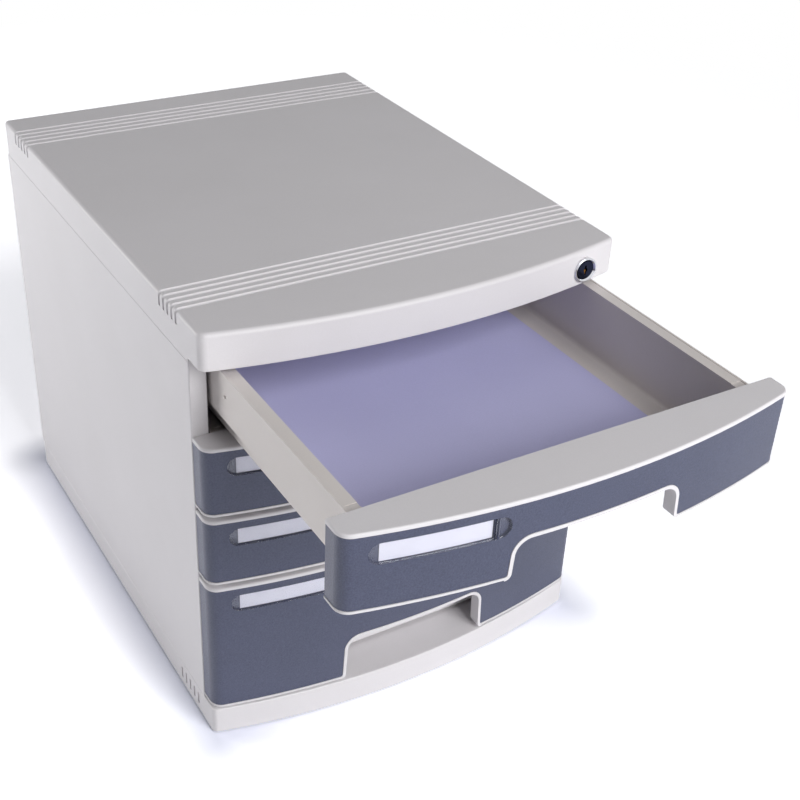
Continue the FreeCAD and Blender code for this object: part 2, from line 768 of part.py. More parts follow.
def notch_outline(drawer, margin, y):
    """The notch seen from the front as points and arcs, grown by the margin."""
    low = drawer.bottom - overrun
    half_low = notch_half_width + margin
    half_high = notch_half_width - notch_draft + margin
    top = drawer.bottom + drawer.notch_height + margin
    radius = notch_radius + margin
    knee = top - radius
    slant = radius * (1 - math.cos(math.pi / 4))
    foot_radius = notch_foot_radius - margin
    draft = math.atan2(half_low - half_high, knee - low)
    foot_z = drawer.bottom + margin + foot_radius
    foot_x = half_low - (foot_z - low) * math.tan(draft) + foot_radius / math.cos(draft)

    def on_foot(turn):
        """A point of the right foot's arc, turned down from where it leaves the side."""
        angle = math.pi + draft + turn
        return vec(foot_x + foot_radius * math.cos(angle), y, foot_z + foot_radius * math.sin(angle))
    sweep = math.pi / 2 - draft
    start, middle, end = on_foot(0), on_foot(sweep / 2), on_foot(sweep)

    def left(point):
        return vec(-point.x, point.y, point.z)
    lines = [
        Part.LineSegment(left(start), vec(-half_high, y, knee)),
        Part.Arc(vec(-half_high, y, knee), vec(-half_high + slant, y, top - slant),
                 vec(-half_high + radius, y, top)),
        Part.LineSegment(vec(-half_high + radius, y, top), vec(half_high - radius, y, top)),
        Part.Arc(vec(half_high - radius, y, top), vec(half_high - slant, y, top - slant),
                 vec(half_high, y, knee)),
        Part.LineSegment(vec(half_high, y, knee), start),
        Part.Arc(start, middle, end),
        Part.LineSegment(end, vec(end.x, y, low)),
        Part.LineSegment(vec(end.x, y, low), vec(-end.x, y, low)),
        Part.LineSegment(vec(-end.x, y, low), left(end)),
        Part.Arc(left(end), left(middle), left(start)),
    ]
    return Part.Face(Part.Wire([line.toShape() for line in lines]))


def notch_cutter(drawer, margin, rear):
    """The notch as a solid from before the front back to a plane."""
    start = front_plan.front_y(0) - overrun
    return notch_outline(drawer, margin, start).extrude(vec(0, rear - start, 0))


def front_shell(drawer):
    """Light shell of a front: top, bottom, rear wall, ribs, screw bosses and the notch frame."""
    body = front_plan.prism(drawer.bottom, drawer.top)
    low = drawer.bottom + bottom_rim
    high = drawer.top - top_rim

    def outer_edge(c, b):
        at_rim = abs(c.z - drawer.top) < panel_sink or abs(c.z - drawer.bottom) < panel_sink
        return at_rim and c.y < front_rear_y - panel_sink
    body = rounded(body, front_edge_radius, outer_edge)
    hollow = block(-casing_width, casing_width, front_plan.front_y(0) - overrun, front_wall_y, low, high)
    behind_panel = panel_sink + panel_thickness + panel_fit
    end = block(half_width - behind_panel, half_width + overrun, front_wall_y - overrun,
                front_rear_y + overrun, low, high)
    body = body.cut([hollow, end, mirrored(end)])
    room = front_plan.prism(low, high, behind_panel)
    extras = []
    for share in shell_rib_place_shares:
        x = share * half_width
        rib = block(x - shell_rib_width / 2, x + shell_rib_width / 2, front_plan.front_y(0), front_rear_y,
                    low, high)
        extras.append(rib.common(room))
    for x, z in front_screw_places(drawer):
        extras.append(rod_y(screw_head_radius, x, front_rear_y - screw_length, front_rear_y, z))
    frame = front_plan.skin(drawer.bottom, high, 0, notch_jamb)
    extras.append(frame.common(notch_cutter(drawer, notch_rim, front_wall_y)))
    body = joined(body, extras)
    relief_x = notch_half_width + notch_relief
    relief = front_plan.prism(drawer.bottom - overrun, low, notch_jamb, front_wall_y)
    relief = relief.common(block(-relief_x, relief_x, front_plan.front_y(0), front_wall_y,
                                 drawer.bottom - overrun, low))
    cuts = [notch_cutter(drawer, 0, front_wall_y), relief]
    cuts += [rod_y(screw_radius + screw_fit, x, front_rear_y - screw_length - overrun,
                   front_rear_y + overrun, z) for x, z in front_screw_places(drawer)]
    return body.cut(cuts)


def obround(length, height, x, z):
    """A prism along Y with half-round ends, through the whole front."""
    start = front_plan.front_y(0) - overrun
    depth = front_rear_y - start
    radius = height / 2
    half = length / 2 - radius
    body = Part.makeBox(2 * half, depth, height, vec(x - half, start, z - radius))
    ends = [Part.makeCylinder(radius, depth, vec(x + side * half, start, z), vec(0, 1, 0))
            for side in (-1, 1)]
    return joined(body, ends)


def front_panel(drawer):
    """Dark panel in the front, wrapped round both corners, with the pocket of the label."""
    low = drawer.bottom + bottom_rim + panel_fit
    high = drawer.top - top_rim - panel_fit
    body = front_plan.skin(low, high, panel_sink, panel_sink + panel_thickness)
    body = body.cut(block(-casing_width, casing_width, front_rear_y, front_rear_y + casing_depth,
                          low - overrun, high + overrun))
    body = body.cut(notch_cutter(drawer, notch_rim + panel_fit, front_rear_y))
    pocket = obround(window_length, window_height, -window_place, drawer.window_z)
    pocket = pocket.common(front_plan.skin(low, high, -overrun, panel_sink + pocket_depth))
    return body.cut(pocket)


def label_window(drawer):
    """Clear window that fills the pocket in front of the card."""
    length = window_length - 2 * window_clearance
    height = window_height - 2 * window_clearance
    plug = obround(length, height, -window_place, drawer.window_z)
    inner = panel_sink + pocket_depth - card_thickness - 2 * card_clearance
    window = plug.common(front_plan.skin(drawer.bottom, drawer.top, window_sink, inner))
    return rounded(window, window_bevel,
                   lambda c, b: c.y < front_plan.front_y(c.x, (window_sink + inner) / 2))


def label_card(drawer):
    """Bare card at the back of the pocket."""
    inner = panel_sink + pocket_depth - card_clearance
    layer = front_plan.skin(drawer.bottom, drawer.top, inner - card_thickness, inner)
    x = -window_place - card_shift
    half = card_length / 2
    return layer.common(block(x - half, x + half, front_plan.front_y(0) - overrun, front_rear_y,
                              drawer.window_z - card_height / 2, drawer.window_z + card_height / 2))


def front_screws(drawer):
    """Two screws from inside the tray into the front."""
    y = tray_front_y + tray_wall
    return Part.makeCompound([screw(vec(x, y, z), vec(0, -1, 0)) for x, z in front_screw_places(drawer)])


def liner_sheet(drawer):
    """Loose sheet on the floor of the top drawer."""
    front = tray_front_y + tray_wall + tray_floor_radius + sheet_gap
    rear = tray_rear_y - tray_wall - sheet_rear_room
    half = tray_inner_half_width - sheet_side_room
    print("sheet", round(2 * half, 3), "by", round(rear - front, 3))
    return block(-half, half, front, rear, drawer.floor_top, drawer.floor_top + sheet_thickness)


def main():
    os.makedirs("parts", exist_ok=True)
    export("top_cover", top_cover())
    right = side_panel()
    export("side_panel_right", right)
    export("side_panel_left", mirrored(right))
    export("back_panel", back_panel())
    export("base", base())
    export("foot_pads", foot_pads())
    upright = vec(0, 0, 1)
    forward = vec(0, -1, 0)
    deck_low = base_height - base_deck
    export("base_screws", Part.makeCompound([screw(vec(x, y, deck_low), upright)
                                             for x, y in base_screw_places()]))
    export("back_screws", Part.makeCompound([screw(vec(x, rear_y, z), forward)
                                             for x, z in back_screw_places()]))
    export("lock_barrel", lock_barrel())
    export("lock_nut", lock_nut())
    export("lock_plug", lock_plug())
    export("lock_cam", lock_cam())
    export("cam_screw", cam_screw())
    export("lock_bar", lock_bar())
    makers = {
        "tray": tray,
        "front_shell": front_shell,
        "front_panel": front_panel,
        "label_window": label_window,
        "label_card": label_card,
        "front_screws": front_screws,
    }
    for drawer in drawers:
        for piece, make in makers.items():
            export(piece + "_" + drawer.name, drawer.placed(make(drawer)))
    export("liner_sheet", drawers[0].placed(liner_sheet(drawers[0])))
    print("bar travel", round(bar_travel, 3), "lock axis", lock_x, round(lock_z, 2))


main()
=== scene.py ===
# %% [markdown]
# A file cabinet for the desk, dressed for its portrait.
#
# The cabinet is already built: every moulding, screw and lock part stands in its true place
# in one frame. This lesson adds what a drawing can't hold, which is how each surface looks
# and the few small pieces that are finer than the drawing. The first step is to load the
# frame.

# %% Load the cabinet
import math

import bmesh
import bpy
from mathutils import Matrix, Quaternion, Vector, noise


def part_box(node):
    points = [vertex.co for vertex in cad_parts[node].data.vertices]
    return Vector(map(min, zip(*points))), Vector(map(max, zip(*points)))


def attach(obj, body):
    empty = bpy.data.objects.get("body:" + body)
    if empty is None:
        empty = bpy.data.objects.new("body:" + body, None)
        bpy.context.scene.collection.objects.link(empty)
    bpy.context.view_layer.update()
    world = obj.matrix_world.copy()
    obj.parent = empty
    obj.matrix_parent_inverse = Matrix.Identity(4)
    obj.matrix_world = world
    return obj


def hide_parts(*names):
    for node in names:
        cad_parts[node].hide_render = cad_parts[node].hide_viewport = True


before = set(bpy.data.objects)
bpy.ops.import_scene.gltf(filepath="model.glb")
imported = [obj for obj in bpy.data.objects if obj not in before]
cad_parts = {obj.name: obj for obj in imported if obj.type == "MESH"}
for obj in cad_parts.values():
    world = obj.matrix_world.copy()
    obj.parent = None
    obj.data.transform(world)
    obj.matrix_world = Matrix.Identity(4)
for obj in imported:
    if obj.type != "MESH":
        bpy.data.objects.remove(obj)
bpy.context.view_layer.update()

mm = 0.001  # the frame counts in metres

# %% [markdown]
# The camera comes first, so that every later choice can be judged in the same picture.
#
# The photograph looks down on the cabinet from the front left, and the camera leaned a
# little to one side. A look direction and a lean are easier to read than a matrix: the
# camera is first aimed, and then turned about its own line of sight.

# %% Camera
camera_place = Vector((-391.9, -784.3, 682.9)) * mm
camera_bearing = math.radians(32.38)
camera_dip = math.radians(32.22)
camera_lean = math.radians(3.01)
focal_length = 58.32
sensor_width = 36

line_of_sight = Vector((
    math.sin(camera_bearing) * math.cos(camera_dip),
    math.cos(camera_bearing) * math.cos(camera_dip),
    -math.sin(camera_dip),
))
camera = bpy.data.objects.new("camera", bpy.data.cameras.new("camera"))
bpy.context.scene.collection.objects.link(camera)
camera.data.lens = focal_length
camera.data.sensor_width = sensor_width
camera.location = camera_place
camera.rotation_mode = "QUATERNION"
aimed = line_of_sight.to_track_quat("-Z", "Y")
camera.rotation_quaternion = aimed @ Quaternion((0, 0, 1), camera_lean)
bpy.context.scene.camera = camera
print("camera looks along", [round(part, 3) for part in line_of_sight])

# %% [markdown]
# Shader maths reads best when it looks like arithmetic.
#
# In the node editor a sum of two masks is a Math node with two links. Here a small class
# stands for one socket, and its operators add those nodes, so that 0.4 + 0.2 * grain means
# what it says. Only numbers may go this way: a colour that passes a Math node turns grey.

# %% A socket that can be added and multiplied
class Wire:
    """One output of a node, which can be added, subtracted and multiplied."""

    def __init__(self, finish, socket):
        self.finish = finish
        self.socket = socket

    def maths(self, operation, first, second):
        """A Math node on two values or wires."""
        return self.finish.node("ShaderNodeMath", {"operation": operation}, {0: first, 1: second})

    def __add__(self, other):
        return self.maths("ADD", self, other)

    def __sub__(self, other):
        return self.maths("SUBTRACT", self, other)

    def __mul__(self, other):
        return self.maths("MULTIPLY", self, other)

    __radd__ = __add__
    __rmul__ = __mul__


print("a wire knows", [name for name in vars(Wire) if name in ("__add__", "__sub__", "__mul__")])

# %% [markdown]
# One class holds one finish.
#
# A finish is a material and its node tree. The method called node makes any node: its
# settings are set first, because they decide which sockets exist, and then its sockets get
# values or wires. The other methods only give names to what a maker of surfaces says often:
# a grain, a tint between two colours, a relief pressed into the surface.

# %% A finish and its node tree
class Finish:
    """A material that ends in one Principled shader."""

    def __init__(self, name, **constants):
        self.material = bpy.data.materials.new(name)
        self.material.use_nodes = True
        self.tree = self.material.node_tree
        self.shader = self.tree.nodes["Principled BSDF"]
        for word, value in constants.items():
            self.shader.inputs[word.replace("_", " ")].default_value = value
        self.place = self.node("ShaderNodeTexCoord", output="Object")

    def node(self, kind, settings=None, sockets=None, output=0):
        """Any node: settings first, then the values or wires of its sockets."""
        made = self.tree.nodes.new(kind)
        for word, value in (settings or {}).items():
            if word == "stops":
                self.colour_stops(made.color_ramp, value)
            else:
                setattr(made, word, value)
        for key, value in (sockets or {}).items():
            self.join(value, made.inputs[key])
        return Wire(self, made.outputs[output])

    def join(self, value, socket):
        """Puts a value or a wire on a socket."""
        if isinstance(value, Wire):
            self.tree.links.new(value.socket, socket)
        else:
            socket.default_value = value

    def colour_stops(self, ramp, stops):
        """Fills a ramp with (place, grey) stops."""
        while len(ramp.elements) < len(stops):
            ramp.elements.new(1)
        for element, (place, grey) in zip(ramp.elements, stops):
            element.position = place
            element.color = (grey, grey, grey, 1)

    def feed(self, **wires):
        """Joins wires to the shader's own sockets."""
        for word, value in wires.items():
            self.join(value, self.shader.inputs[word.replace("_", " ")])


print("a finish has", [name for name in vars(Finish) if not name.startswith("_")])

# %% [markdown]
# Four helpers cover nearly every plastic, metal and paper on the cabinet.
#
# Grain is noise of a real size: the noise texture counts its features per metre, so one
# over the size in metres gives its scale. The contrast says how far from middle grey the
# noise may go before it is fully dark or fully light, and a small one makes hard grains.
# Brushing is the same noise with its place squeezed along one axis. A tint blends two
# colours by a mask, and a relief turns a mask into slopes as deep as on the real moulding.

# %% Grain, brushing, tint and relief
brushed_detail = 3.0


def grain(finish, size, contrast, detail=2.0):
    """Noise whose features have a real size, between 0 and 1."""
    value = finish.node("ShaderNodeTexNoise", None,
                        {"Vector": finish.place, "Scale": 1 / size, "Detail": detail})
    low, high = 0.5 - contrast, 0.5 + contrast
    return finish.node("ShaderNodeValToRGB", {"stops": [(low, 0.0), (high, 1.0)]}, {"Fac": value})


def brushing(finish, size, squeeze):
    """Noise drawn out into fine lines; squeeze has a factor for each axis."""
    place = finish.node("ShaderNodeVectorMath", {"operation": "MULTIPLY"}, {0: finish.place, 1: squeeze})
    return finish.node("ShaderNodeTexNoise", None,
                       {"Vector": place, "Scale": 1 / size, "Detail": brushed_detail})


def tint(finish, mask, first, second):
    """A colour between two, by a mask."""
    return finish.node("ShaderNodeMix", {"data_type": "RGBA"}, {0: mask, 6: first, 7: second}, output=2)


def relief(finish, height, depth):
    """Slopes from a mask whose full range is as deep as given."""
    finish.feed(Normal=finish.node("ShaderNodeBump", None, {"Height": height, "Distance": depth}))


print("helpers", grain.__name__, brushing.__name__, tint.__name__, relief.__name__)

# %% [markdown]
# Colours are easiest to name as they look on a screen, from 0 to 255.
#
# The shader counts light instead, so each channel is turned back from the screen's curve.

# %% From screen colour to light
def paint(red, green, blue):
    """A screen colour as the light that a shader counts in."""
    def light(channel):
        share = channel / 255
        return share / 12.92 if share <= 0.04045 else ((share + 0.055) / 1.055) ** 2.4
    return light(red), light(green), light(blue), 1.0


print("middle grey as light", [round(part, 3) for part in paint(128, 128, 128)])

# %% [markdown]
# The casing is a light grey office plastic, moulded in a spark-eroded tool.
#
# Such a tool leaves a fine matt grain of about half a millimetre. The shade drifts a little
# over a large moulding, because the melt cools unevenly, and handling rubs the tops of the
# grain to a softer gloss. Three sizes of noise say all of that: one for the drift, one for
# the rubbed patches and one for the grain.

# %% Casing plastic
def office_plastic(name, light_side, dark_side, grain_depth=0.02 * mm):
    """Matt moulded plastic with a drift of shade, rubbed patches and a fine grain."""
    finish = Finish(name, IOR=1.5)
    drift = grain(finish, size=110 * mm, detail=3, contrast=0.25)
    rubbed = grain(finish, size=24 * mm, detail=4, contrast=0.2)
    fine = grain(finish, size=0.6 * mm, detail=1, contrast=0.3)
    finish.feed(
        Base_Color=tint(finish, 0.45 * drift + 0.15 * rubbed + 0.4 * fine, dark_side, light_side),
        Roughness=0.4 + 0.12 * fine + 0.06 * rubbed,
    )
    relief(finish, fine, depth=grain_depth)
    return finish


casing_finish = office_plastic("casing_plastic", paint(231, 228, 231), paint(221, 218, 220))
tray_finish = office_plastic("tray_plastic", paint(230, 224, 221), paint(221, 214, 210),
                             grain_depth=0.012 * mm)
print("made", casing_finish.material.name, tray_finish.material.name)

# %% [markdown]
# The panels in the drawer fronts are dark, bluish and coarser than the casing.
#
# The leather-like grain of the tool catches the light in tiny sparks, and most of that is
# gloss. So the grain and its pores are pressed into the surface, and they lift the colour on
# the tops only a little, where the plastic is polished by hands and cloths.

# %% Panel plastic
panel_finish = Finish("panel_plastic", IOR=1.5)
panel_drift = grain(panel_finish, size=60 * mm, detail=3, contrast=0.25)
panel_grain = grain(panel_finish, size=0.9 * mm, detail=2, contrast=0.18)
panel_pores = grain(panel_finish, size=0.5 * mm, detail=1, contrast=0.22)
panel_mask = 0.2 * panel_drift + 0.5 * panel_grain + 0.3 * panel_pores
panel_finish.feed(
    Base_Color=tint(panel_finish, panel_mask, paint(56, 60, 81), paint(80, 85, 111)),
    Roughness=0.3 + 0.16 * panel_pores,
)
relief(panel_finish, 0.6 * panel_grain + 0.4 * panel_pores, depth=0.07 * mm)
print("made", panel_finish.material.name)

# %% [markdown]
# A label window is clear, and clear plastic is mostly what lies behind it.
#
# Each face gives back about a twenty-fifth of the light when seen square on, much more at a
# glancing angle, and lets the rest pass. Alpha is the share of the surface that is there, so
# alpha follows that law, and the share that is there is a mirror. At an even blend the Layer
# Weight node's facing value is one less the cosine, which is what the law is written in.
# Fine hair scratches from being slid in and out dull the window a little.
#
# Between the card's end and the round right end the window has two ridges to grip it by. The
# grooves beside them bend the view aside into the dark recess, which a thin mirror can't do,
# so the grooves are given as darker bands of painted shade, standing for the dark recess seen through
# them.

# %% Window plastic
ridge_count = 2
ridge_profile = (  # share of a ridge's width, share of its height
    (0.0, 0.0),
    (0.54, 0.0),
    (0.62, 1.0),
    (0.9, 1.0),
    (0.98, 0.0),
)
window_low, window_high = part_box("label_window_1")
ridges_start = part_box("label_card_1")[1].x
ridges_end = window_high.x - (window_high.z - window_low.z) / 2
ridge_zone = ridges_end - ridges_start
square_on_share = 0.025
glancing_share = 0.9
glancing_power = 5.0
groove_shade_share = 0.55
# Painted shade for the grooves: the dark recess that shows through them, painted as colour.
groove_painted_shade = paint(40, 43, 60)

window_finish = Finish("window_plastic", Metallic=1.0)
window_scratches = brushing(window_finish, size=3 * mm, squeeze=(1.0, 1.0, 12.0))
window_drift = grain(window_finish, size=18 * mm, contrast=0.3)
window_glance = window_finish.node("ShaderNodeLayerWeight", None, {"Blend": 0.5}, output=1)
window_rise = window_glance.maths("POWER", window_glance, glancing_power)
window_side = window_finish.node("ShaderNodeSeparateXYZ", None, {0: window_finish.place})
window_across = (window_side - ridges_start) * (ridge_count / ridge_zone)
window_stripes = window_finish.node(
    "ShaderNodeValToRGB",
    {"stops": [(share, 0.0 if rise else 1.0) for share, rise in ridge_profile]},
    {"Fac": window_across.maths("FRACT", window_across, 0.0)},
)
window_inside = (window_across.maths("GREATER_THAN", window_across, 0.0)
                 * window_across.maths("LESS_THAN", window_across, float(ridge_count)))
window_groove_shade = window_stripes * window_inside
window_clear = tint(window_finish, window_drift, paint(246, 247, 251), paint(252, 253, 255))
# The grooves get painted shade: a dark colour and more alpha, so the painted darkness shows.
window_finish.feed(
    Base_Color=tint(window_finish, window_groove_shade, window_clear, groove_painted_shade),
    Roughness=0.03 + 0.08 * window_scratches,
    Alpha=(square_on_share + 0.01 * window_drift + glancing_share * window_rise
           + groove_shade_share * window_groove_shade),
)
relief(window_finish, window_scratches, depth=0.004 * mm)
print("made", window_finish.material.name, "ridges over", round(ridge_zone / mm, 2), "mm")

# %% [markdown]
# The card behind each window is plain white board, and the sheet in the tray is lavender.
#
# Both are matt. Board shows its fibres and is faintly cloudy, and the sheet has the fine
# pebble of a file cover, with a slow drift of shade across it.

# %% Card and sheet
card_finish = Finish("card_paper", Roughness=0.75)
card_fibre = grain(card_finish, size=0.8 * mm, detail=4, contrast=0.3)
card_cloud = grain(card_finish, size=9 * mm, detail=2, contrast=0.3)
card_finish.feed(Base_Color=tint(card_finish, 0.5 * card_fibre + 0.5 * card_cloud,
                                 paint(218, 218, 233), paint(228, 228, 241)))
relief(card_finish, card_fibre, depth=0.01 * mm)

sheet_finish = Finish("sheet_plastic", IOR=1.45)
sheet_pebble = grain(sheet_finish, size=0.9 * mm, detail=2, contrast=0.25)
sheet_drift = grain(sheet_finish, size=80 * mm, detail=2, contrast=0.3)
sheet_finish.feed(
    Base_Color=tint(sheet_finish, 0.5 * sheet_pebble + 0.5 * sheet_drift,
                    paint(200, 199, 240), paint(212, 211, 250)),
    Roughness=0.5 + 0.15 * sheet_pebble,
)
relief(sheet_finish, sheet_pebble, depth=0.03 * mm)
print("made", card_finish.material.name, sheet_finish.material.name)

# %% [markdown]
# The lock is the only bright metal: a chromed bezel round a plated plug, with brass inside.
#
# Chrome has no colour of its own, and only faint polishing lines show that it isn't a
# perfect mirror. The plug is duller, and its very dark colour is partly its plating and partly painted
# shade, standing for the dark surroundings that its polished face mirrors. The wafers of brass are warm.

# %% Metals of the lock
def metal(name, light_side, dark_side, roughness, line_size=1.2 * mm):
    """A metal with fine lines in its gloss and a slight change of tone."""
    finish = Finish(name, Metallic=1.0)
    lines = brushing(finish, size=line_size, squeeze=(1.0, 1.0, 9.0))
    cloud = grain(finish, size=5 * mm, detail=2, contrast=0.3)
    finish.feed(
        Base_Color=tint(finish, 0.6 * cloud + 0.4 * lines, dark_side, light_side),
        Roughness=roughness * (0.7 + 0.6 * lines),
    )
    relief(finish, lines, depth=0.003 * mm)
    return finish


chrome_finish = metal("lock_chrome", paint(222, 223, 228), paint(206, 207, 213), roughness=0.07)
# The plug's dark colour is partly painted shade, for the dark surroundings its face mirrors.
plug_plating_and_painted_shade = metal("plug_metal", paint(44, 48, 66), paint(30, 33, 48), roughness=0.12)
brass_finish = metal("keyway_brass", paint(196, 140, 66), paint(150, 96, 36), roughness=0.28)
steel_finish = metal("screw_steel", paint(190, 191, 195), paint(160, 160, 166), roughness=0.3,
                     line_size=0.8 * mm)
print("made", [made.material.name for made in (chrome_finish, plug_plating_and_painted_shade, brass_finish, steel_finish)])

# %% [markdown]
# Two finishes are hardly seen: the slippery white lock bar and the rubber of the pads.
#
# They still get a surface, because the back, the underside and the inside can be looked at.

# %% Bar plastic and pad rubber
bar_finish = office_plastic("bar_plastic", paint(244, 242, 236), paint(236, 233, 226),
                            grain_depth=0.005 * mm)
rubber_finish = Finish("pad_rubber")
rubber_grain = grain(rubber_finish, size=0.7 * mm, detail=3, contrast=0.25)
rubber_finish.feed(
    Base_Color=tint(rubber_finish, rubber_grain, paint(44, 44, 47), paint(62, 62, 66)),
    Roughness=0.75 + 0.15 * rubber_grain,
)
relief(rubber_finish, rubber_grain, depth=0.05 * mm)
print("made", bar_finish.material.name, rubber_finish.material.name)

# %% [markdown]
# Each node of the frame now puts on its finish.
#
# The nodes are named by kind and number, so the part of the name before the number says
# which finish it wears. A dictionary keeps that list in one place, and a node that nobody
# thought of stops the script at once.

# %% Dress the nodes
drawer_numbers = ("1", "2", "3", "4")
finish_of_kind = {
    "top_cover": casing_finish,
    "side_panel_right": casing_finish,
    "side_panel_left": casing_finish,
    "back_panel": casing_finish,
    "base": casing_finish,
    "foot_pads": rubber_finish,
    "base_screws": steel_finish,
    "back_screws": steel_finish,
    "lock_barrel": chrome_finish,
    "lock_nut": steel_finish,
    "lock_plug": plug_plating_and_painted_shade,
    "lock_cam": steel_finish,
    "cam_screw": steel_finish,
    "lock_bar": bar_finish,
    "tray": tray_finish,
    "front_shell": casing_finish,
    "front_panel": panel_finish,
    "label_window": window_finish,
    "label_card": card_finish,
    "front_screws": steel_finish,
    "liner_sheet": sheet_finish,
}

for name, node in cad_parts.items():
    kind = name[:-2] if name[-1] in drawer_numbers else name
    node.data.materials.clear()
    node.data.materials.append(finish_of_kind[kind].material)
print("dressed", len(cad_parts), "nodes in", len(set(finish_of_kind.values())), "finishes")

# %% [markdown]
# New pieces are built as meshes from points and faces, in the frame's own place.
#
# One helper turns a bmesh into an object: it recalculates the normals, smooths what is
# round and keeps what is sharp, gives it its finish, and hangs it on the body it moves with.

# %% From mesh to piece
sharp_angle = math.radians(35)


def piece(name, mesh_maker, finish, body):
    """Links a finished bmesh as a piece that rides on a body."""
    bmesh.ops.recalc_face_normals(mesh_maker, faces=mesh_maker.faces)
    mesh = bpy.data.meshes.new(name)
    mesh_maker.to_mesh(mesh)
    mesh_maker.free()
    for polygon in mesh.polygons:
        polygon.use_smooth = True
    mesh.set_sharp_from_angle(angle=sharp_angle)
    mesh.materials.append(finish.material)
    made = bpy.data.objects.new(name, mesh)
    bpy.context.scene.collection.objects.link(made)
    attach(made, body)
    return made


# %% [markdown]
# Every drawer front is bowed, so what sits in it has to follow the same arc.
#
# The arc is known from the half width of the casing and how far the middle stands forward
# of the corners. The window is drawn flat first, as a length and a height, and each point
# is then laid on the arc at its own depth.

# %% The bow of the drawer fronts
half_width = 150 * mm
front_bow = 18.9 * mm
front_corner_y = -186 * mm
top_drawer_pull = 170 * mm
bow_radius = (half_width ** 2 + front_bow ** 2) / (2 * front_bow)
bow_centre = front_corner_y - front_bow + bow_radius


def on_front(x, depth, height, pull):
    """The point of a drawer front at x, this deep behind its face."""
    return Vector((x, bow_centre - math.sqrt((bow_radius - depth) ** 2 - x ** 2) - pull, height))


print("bow radius", round(bow_radius / mm, 1), "mm")

# %% [markdown]
# A label window is a clear slide with round ends and a raised frame.
#
# Seen from the front it is a stadium: two straight sides and two half circles. Rings of
# points at growing insets make its stepped edge. The middle is one strip of upright columns,
# so it can follow the bow, and beyond the card's end some columns stand proud as ridges.

# %% Outline of the window
window_arc_steps = 12
window_plain_steps = 26
frame_steps = (  # inset from the outline, depth behind the drawer's face
    (0.0 * mm, 1.95 * mm),
    (0.0 * mm, 0.5 * mm),
    (0.15 * mm, 0.22 * mm),
    (0.45 * mm, 0.12 * mm),
    (0.9 * mm, 0.12 * mm),
    (1.25 * mm, 0.5 * mm),
)


def column_places(straight_half):
    """Columns along the straight part: even, then closer together over the ridges."""
    ridge_start = straight_half - ridge_zone
    plain = [-straight_half + step * (ridge_start + straight_half) / window_plain_steps
             for step in range(window_plain_steps)]
    ridge_width = ridge_zone / ridge_count
    fine = [ridge_start + (index + across) * ridge_width
            for index in range(ridge_count) for across, rise in ridge_profile]
    return plain + fine + [straight_half]


def stadium(straight_half, radius, places):
    """Upper half of the outline from the left tip to the right tip."""
    quarter = [math.radians(90 * step / window_arc_steps) for step in range(window_arc_steps)]
    left = [(-straight_half - radius * math.cos(turn), radius * math.sin(turn)) for turn in quarter]
    top = [(place, radius) for place in places]
    right = [(straight_half + radius * math.cos(turn), radius * math.sin(turn))
             for turn in reversed(quarter)]
    return left + top + right


example_half = 30 * mm
print("window columns", len(column_places(example_half)))

# %% [markdown]
# The rings are joined into walls, and the last ring is closed by the columns.
#
# Each ridge is flat on top with steep flanks, so it takes its height from the corner of the
# profile that its column stands on. The rear is closed the same way, so the window is one
# solid, as the real slide is.

# %% Build the four windows
ridge_height = 0.36 * mm


def ridge(place, straight_half):
    """How far the field stands forward at this place."""
    start = straight_half - ridge_zone
    if place <= start or place >= straight_half:
        return 0.0
    across = ridge_count * (place - start) / ridge_zone % 1
    nearest = min(ridge_profile, key=lambda corner: abs(corner[0] - across))
    return ridge_height * nearest[1]


def label_window(number):
    """One clear window, as large as the node it replaces."""
    node = "label_window_" + number
    low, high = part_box(node)
    centre, radius = (low + high) / 2, (high.z - low.z) / 2
    straight_half = (high.x - low.x) / 2 - radius
    places = column_places(straight_half)
    pull = top_drawer_pull if number == "1" else 0.0
    maker = bmesh.new()
    rings = []
    for inset, depth in frame_steps:
        half = stadium(straight_half, radius - inset, places)
        raised = depth == frame_steps[-1][1]
        upper = [maker.verts.new(on_front(centre.x + u, depth - (ridge(u, straight_half) if raised else 0),
                                          centre.z + v, pull)) for u, v in half]
        lower = [maker.verts.new((point.co.x, point.co.y, 2 * centre.z - point.co.z))
                 for point in upper[1:-1]]
        rings.append((upper, lower))
    for (upper, lower), (next_upper, next_lower) in zip(rings, rings[1:]):
        ring = upper + lower[::-1]
        next_ring = next_upper + next_lower[::-1]
        for index, point in enumerate(ring):
            beside = (index + 1) % len(ring)
            maker.faces.new((point, ring[beside], next_ring[beside], next_ring[index]))
    for upper, lower in (rings[0], rings[-1]):
        under = [upper[0]] + lower + [upper[-1]]
        maker.faces.new((upper[0], upper[1], under[1]))
        for index in range(1, len(upper) - 2):
            maker.faces.new((upper[index], upper[index + 1], under[index + 1], under[index]))
        maker.faces.new((upper[-2], upper[-1], under[-2]))
    made = piece("window_slide_" + number, maker, window_finish, "drawer_" + number)
    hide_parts(node)
    return made


windows = [label_window(number) for number in drawer_numbers]
print("windows", [(made.name, len(made.data.polygons)) for made in windows])

# %% [markdown]
# The lavender sheet lies loose in the top tray.
#
# A real sheet is never quite flat. A grid of points rises in a few long, low waves from
# smooth noise, which is the same on every run, and a second layer below gives it its
# thickness. Its corners are cut round, as on a file cover.

# %% Build the sheet
sheet_cells_x = 44
sheet_cells_y = 62
sheet_corner = 6 * mm
sheet_wave = 0.9 * mm
waves_per_metre = Vector((9, 6))
noise_layer = 0.3


def round_corner(x, y, low, high):
    """Pulls a point of the rectangle in to its round corner."""
    inner_x = min(max(x, low.x + sheet_corner), high.x - sheet_corner)
    inner_y = min(max(y, low.y + sheet_corner), high.y - sheet_corner)
    away = Vector((x - inner_x, y - inner_y))
    if away.length > sheet_corner:
        away *= sheet_corner / away.length
    return inner_x + away.x, inner_y + away.y


